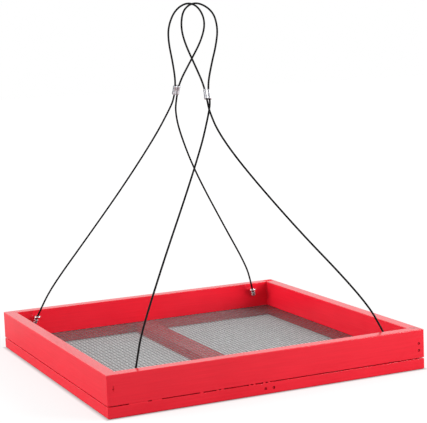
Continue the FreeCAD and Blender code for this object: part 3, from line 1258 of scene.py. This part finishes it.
@dataclass
class Studio:
    """The pale floor, the soft lights and the white surroundings."""

    floor_size: float = 12.0
    floor_colour: Colour = (0.28, 0.28, 0.28, 1.0)
    # Glow stops by distance from the middle: painted shadow under the tray, a dark painted contact shadow at
    # its foot, then stronger further out where the lamps reach less
    inner_glow: Range = (0.135, 0.48)
    foot_glow: Range = (0.152, 0.0)
    near_glow: Range = (0.1529, 0.71)
    far_glow: Range = (1.0, 0.88)
    # Reflections see the glow only from the first distance on, fully at the second: painted shadow in
    # reflections near the tray
    mirror_reach: Range = (0.165, 1.0)
    room: float = 0.42
    ambient: float = 0.60
    right_edge: Range = (0.2, 0.65)
    behind_edge: Range = (-0.35, 0.0)

    def build(self) -> None:
        """Make the floor, the world and the lamps."""
        self._floor()
        self._world()
        self._lamp("right_light", place=(1.0, -0.85, 0.50), size=0.8, power=19.0)
        self._lamp("left_light", place=(-1.6, 0.2, 0.50), size=0.9, power=25.0)

    def _floor(self) -> None:
        """A floor that keeps the object's shadow in its lit part, with painted shadow where its glow is
        turned down under the tray, at its foot and in nearby reflections; white to the camera and, away from
        the tray, to reflections.
        """
        floor = Bench.start(bpy.ops.mesh.primitive_plane_add, "studio_floor", size=self.floor_size)
        sheet = NodeSheet(bpy.data.materials.new("studio_floor"))
        path = sheet.add("LightPath").outputs
        size = sheet.add("VectorMath", {0: sheet.place()}, operation="ABSOLUTE").outputs[0]
        parts = sheet.add("SeparateXYZ", {0: size}).outputs
        away = sheet.math("MAXIMUM", parts["X"], parts["Y"])
        direct = sheet.math("MAXIMUM", path["Is Camera Ray"], path["Is Transmission Ray"])
        # Painted shadow in reflections near the tray
        share = sheet.spread(away, (0.0, 1.0), since=self.mirror_reach)
        seen = sheet.math("MAXIMUM", direct, sheet.math("MULTIPLY", path["Is Glossy Ray"], share))
        # Painted shadow: the glow dips under the tray and falls to none at its foot
        stops = (self.inner_glow, self.foot_glow, self.near_glow, self.far_glow)
        white = sheet.ramp(away, [(reach, (glow, glow, glow, 1.0)) for reach, glow in stops])
        lit = sheet.add("BsdfDiffuse", {"Color": self.floor_colour})
        glowing = sheet.add("Emission", {"Color": WHITE, "Strength": sheet.math("MULTIPLY", seen, white)})
        both = sheet.add("AddShader", {0: lit.outputs[0], 1: glowing.outputs[0]})
        sheet.add("OutputMaterial", {"Surface": both.outputs[0]})
        floor.data.materials.append(sheet.owner)

    def _world(self) -> None:
        """White to the camera and through glass, a room lit from behind and the right to reflections."""
        world = bpy.data.worlds.new("studio_world")
        bpy.context.scene.world = world
        sheet = NodeSheet(world)
        way = sheet.add("SeparateXYZ", {0: sheet.add("TexCoord").outputs["Generated"]}).outputs
        right = sheet.spread(way["X"], (self.room, 1.0), since=self.right_edge)
        behind = sheet.spread(way["Y"], (0.0, 1.0), since=self.behind_edge)
        path = sheet.add("LightPath").outputs
        seen = sheet.math("MAXIMUM", path["Is Camera Ray"], path["Is Transmission Ray"])
        strength = sheet.math("MAXIMUM", seen, sheet.math("MAXIMUM", right, behind))
        direct = sheet.math("MAXIMUM", seen, path["Is Glossy Ray"])
        soft = sheet.add("Background", {"Color": WHITE, "Strength": self.ambient})
        white = sheet.add("Background", {"Color": WHITE, "Strength": strength})
        mixed = sheet.add("MixShader", {0: direct, 1: soft.outputs[0], 2: white.outputs[0]})
        sheet.add("OutputWorld", {"Surface": mixed.outputs[0]})

    @staticmethod
    def _lamp(name: str, place: Point, size: float, power: float) -> None:
        """A square soft light that faces the tray.

        Args:
            name: Its name.
            place: Where it stands.
            size: Length of its side.
            power: Its power in watts.
        """
        lamp = bpy.data.lights.new(name, "AREA")
        lamp.size = size
        lamp.energy = power
        obj = bpy.data.objects.new(name, lamp)
        obj.location = place
        obj.rotation_euler = (-Vector(place)).to_track_quat("-Z", "Y").to_euler()
        bpy.context.scene.collection.objects.link(obj)


@dataclass(frozen=True)
class PhotoCamera:
    """The camera that took the photograph, as worked out from the tray's edges."""

    place: Point = (-0.50358, -1.15783, 0.30761)
    azimuth: float = -24.224
    elevation: float = 7.494
    roll: float = 2.258
    focal_pixels: float = 1339.4
    width_pixels: float = 427.0
    sensor: float = 36.0
    nearest: float = 0.05
    farthest: float = 50.0

    def build(self) -> None:
        """Put the camera in the scene."""
        camera = bpy.data.cameras.new("photo_camera")
        camera.sensor_width = self.sensor
        camera.lens = self.sensor * self.focal_pixels / self.width_pixels
        camera.clip_start = self.nearest
        camera.clip_end = self.farthest
        obj = bpy.data.objects.new("photo_camera", camera)
        turns = ((self.azimuth, "Z"), (90.0 - self.elevation, "X"), (-self.roll, "Z"))
        pan, tilt, roll = (Matrix.Rotation(math.radians(turn), 4, axis) for turn, axis in turns)
        obj.matrix_world = Matrix.Translation(self.place) @ pan @ tilt @ roll
        bpy.context.scene.collection.objects.link(obj)
        bpy.context.scene.camera = obj


def main() -> None:
    """Build the feeder, the studio and the camera."""
    logging.basicConfig(level=logging.INFO, format="%(name)s: %(message)s")
    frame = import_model()
    bpy.context.scene.view_settings.view_transform = "Standard"
    finishes = FeederFinishes()
    nails = Nails(finishes)
    nails.build()
    walls = [f"{side.label}_{kind}" for side in Side for kind in ("board", "strip")]
    for node in (*walls, "cross_brace"):
        Timber(finishes, nails, node).build()
    WovenFloor(finishes).build()
    ScrewEyes(finishes).build()
    swings = {joint["name"]: Vector(joint["pos_m"]) for joint in frame["joints"]}
    front, back = swings["front_swing"], swings["back_swing"]
    Hanger(finishes, Side.FRONT, front, FRONT_ROUTE, length=0.776, ferrule=FRONT_FERRULE).build()
    Hanger(finishes, Side.BACK, back, BACK_ROUTE, length=0.771, ferrule=BACK_FERRULE).build()
    Studio().build()
    PhotoCamera().build()


if __name__ == "__main__":
    main()
